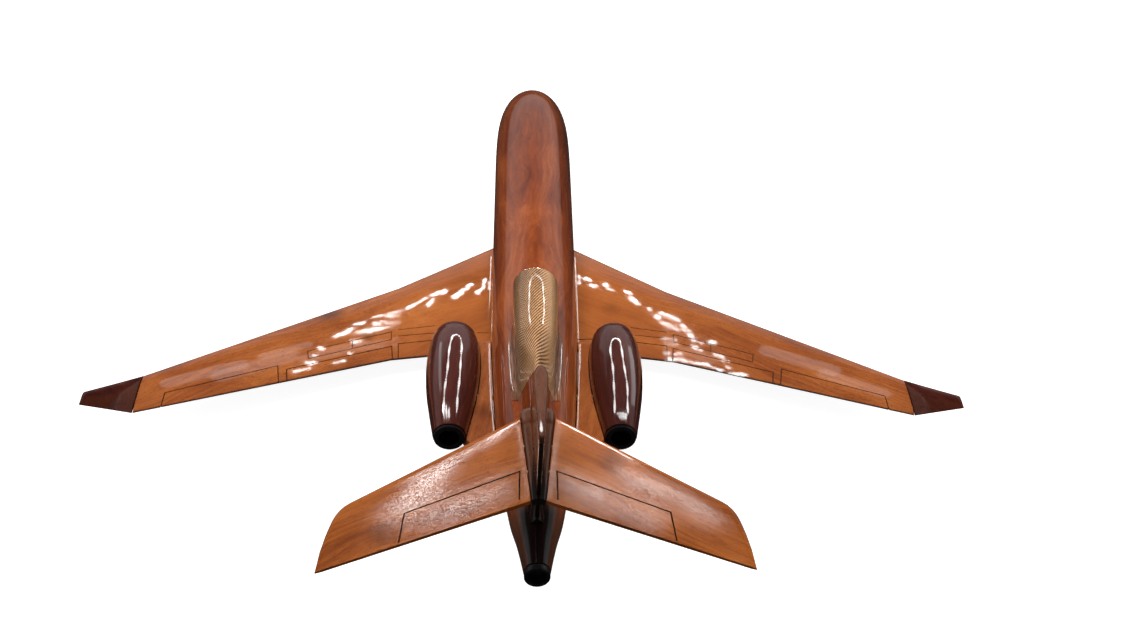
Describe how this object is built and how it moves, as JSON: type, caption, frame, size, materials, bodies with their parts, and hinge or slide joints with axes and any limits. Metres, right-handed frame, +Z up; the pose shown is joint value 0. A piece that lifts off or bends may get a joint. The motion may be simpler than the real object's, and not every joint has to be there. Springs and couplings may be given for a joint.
{
  "type": "desktop aircraft model",
  "caption": "Carved and lacquered hardwood desk model of a swept-wing business jet with side engines, a centre engine duct, a mid-fin tailplane and winglets.",
  "frame": {"origin": "centre of the flat pad on the underside of the belly fairing, which the model rests on", "axes": "+Z up, nose towards -Y, tail towards +Y, port wing towards +X"},
  "size_m": [0.3496, 0.3881, 0.109],
  "materials": {
    "mahogany": "gloss clear lacquer over red-brown mahogany with fine open pores",
    "dark_wood": "gloss clear lacquer over very dark red-brown wood",
    "figured_wood": "gloss clear lacquer over golden-brown wood with a fine slanting figure",
    "black_lacquer": "gloss black lacquer over wood",
    "dowel_wood": "plain unfinished pale dowel wood",
    "brass": "plain turned brass"
  },
  "bodies": {
    "root": {"fuselage": "mahogany", "belly_fairing": "mahogany", "left_wing": "mahogany", "right_wing": "mahogany", "left_pylon": "mahogany", "right_pylon": "mahogany", "fin_pedestal": "mahogany", "fin": "mahogany", "left_root_block": "mahogany", "right_root_block": "mahogany", "left_stabiliser": "mahogany", "right_stabiliser": "mahogany", "left_winglet": "dark_wood", "right_winglet": "dark_wood", "left_nacelle": "dark_wood", "right_nacelle": "dark_wood", "left_intake_lip": "dark_wood", "right_intake_lip": "dark_wood", "fin_cap": "dark_wood", "intake_duct": "figured_wood", "left_exhaust_nozzle": "black_lacquer", "right_exhaust_nozzle": "black_lacquer", "tail_outlet": "black_lacquer", "duct_throat_plug": "black_lacquer", "left_wing_dowel_front": "dowel_wood", "left_wing_dowel_rear": "dowel_wood", "right_wing_dowel_front": "dowel_wood", "right_wing_dowel_rear": "dowel_wood", "left_pylon_dowel": "dowel_wood", "right_pylon_dowel": "dowel_wood", "fin_dowel_front": "dowel_wood", "fin_dowel_rear": "dowel_wood", "tailplane_dowel_front": "dowel_wood", "tailplane_dowel_rear": "dowel_wood", "left_winglet_pin": "brass", "right_winglet_pin": "brass", "fin_cap_pin_front": "brass", "fin_cap_pin_rear": "brass", "stand_socket": "brass"}
  },
  "joints": []
}
